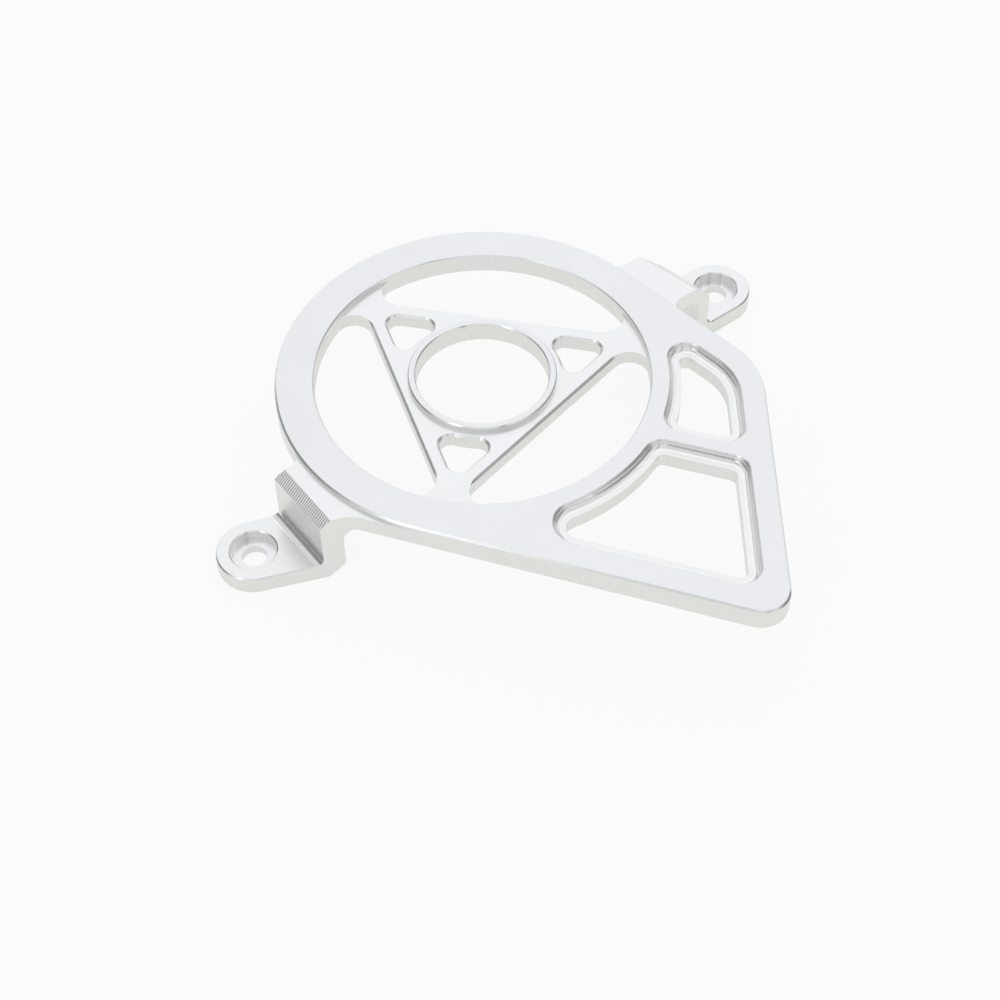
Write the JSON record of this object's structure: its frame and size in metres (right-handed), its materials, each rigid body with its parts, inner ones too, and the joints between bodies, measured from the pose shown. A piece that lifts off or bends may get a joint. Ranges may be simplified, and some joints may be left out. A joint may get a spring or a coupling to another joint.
{
  "type": "engine case cover",
  "caption": "Milled aluminium engine case cover: a round ring with a spoked web, a windowed side wing and bent lugs with counterbored screw holes",
  "frame": {"origin": "middle between the axes of the two screw holes, in the plane that both lug feet bolt down to", "axes": "+Z points away from the engine, square to the lug feet; +X runs towards the wing's straight edge; +Y towards the upper lug; the screws lie on a line turned 36.6 degrees from +X"},
  "size_m": [0.144, 0.1368, 0.0235],
  "materials": {
    "anodised_aluminium": "satin silver anodised over fine milling marks"
  },
  "bodies": {
    "root": {"engine_case_cover": "anodised_aluminium"}
  },
  "joints": []
}
